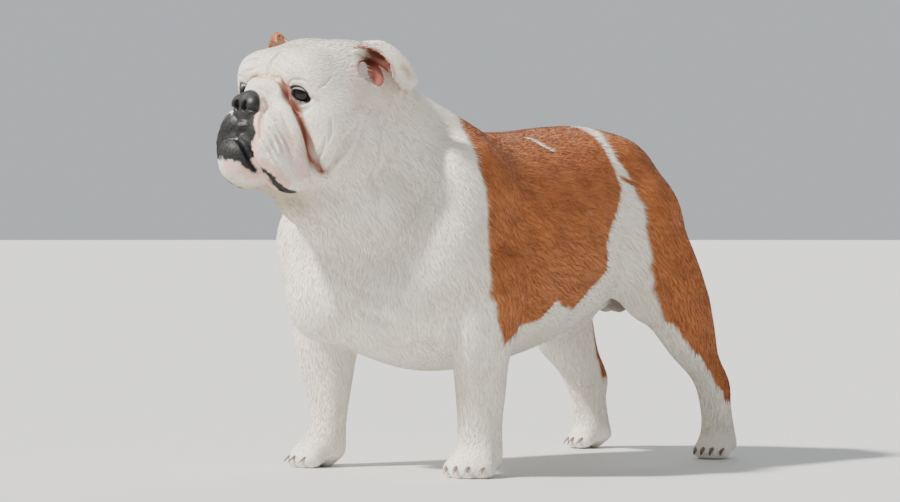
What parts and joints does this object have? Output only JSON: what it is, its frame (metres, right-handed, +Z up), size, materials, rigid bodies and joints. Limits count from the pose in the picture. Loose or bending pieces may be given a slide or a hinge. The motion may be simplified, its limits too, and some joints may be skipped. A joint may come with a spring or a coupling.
{
  "type": "english bulldog",
  "caption": "Still life-size model of a standing adult english bulldog with a white and red-brown short coat.",
  "frame": {"origin": "on the floor, under the middle of the box round the dog", "axes": "-Y towards the dog's nose, +X to the dog's left, +Z up"},
  "size_m": [0.3258, 0.6694, 0.4785],
  "materials": {
    "coat_white": "matte short fur",
    "coat_brown": "matte short fur",
    "nose_leather": "moist grained leather",
    "eye": "wet gloss",
    "claw": "satin horn",
    "bare_skin": "matte skin"
  },
  "bodies": {
    "root": {"head": "coat_white", "lower_jaw": "coat_white", "nose": "nose_leather", "eye_left": "eye", "eye_right": "eye", "ear_left": "coat_white", "ear_right": "coat_white", "neck": "coat_white", "torso": "coat_brown", "tail": "coat_brown", "sheath": "coat_white", "scrotum": "bare_skin", "foreleg_upper_left": "coat_white", "foreleg_lower_left": "coat_white", "forepaw_left": "coat_white", "foreleg_upper_right": "coat_white", "foreleg_lower_right": "coat_white", "forepaw_right": "coat_white", "hindleg_upper_left": "coat_white", "hindleg_lower_left": "coat_white", "hindpaw_left": "coat_white", "hindleg_upper_right": "coat_white", "hindleg_lower_right": "coat_white", "hindpaw_right": "coat_white", "claw_fore_left_1": "claw", "claw_fore_left_2": "claw", "claw_fore_left_3": "claw", "claw_fore_left_4": "claw", "claw_fore_right_1": "claw", "claw_fore_right_2": "claw", "claw_fore_right_3": "claw", "claw_fore_right_4": "claw", "claw_hind_left_1": "claw", "claw_hind_left_2": "claw", "claw_hind_left_3": "claw", "claw_hind_left_4": "claw", "claw_hind_right_1": "claw", "claw_hind_right_2": "claw", "claw_hind_right_3": "claw", "claw_hind_right_4": "claw"}
  },
  "joints": []
}
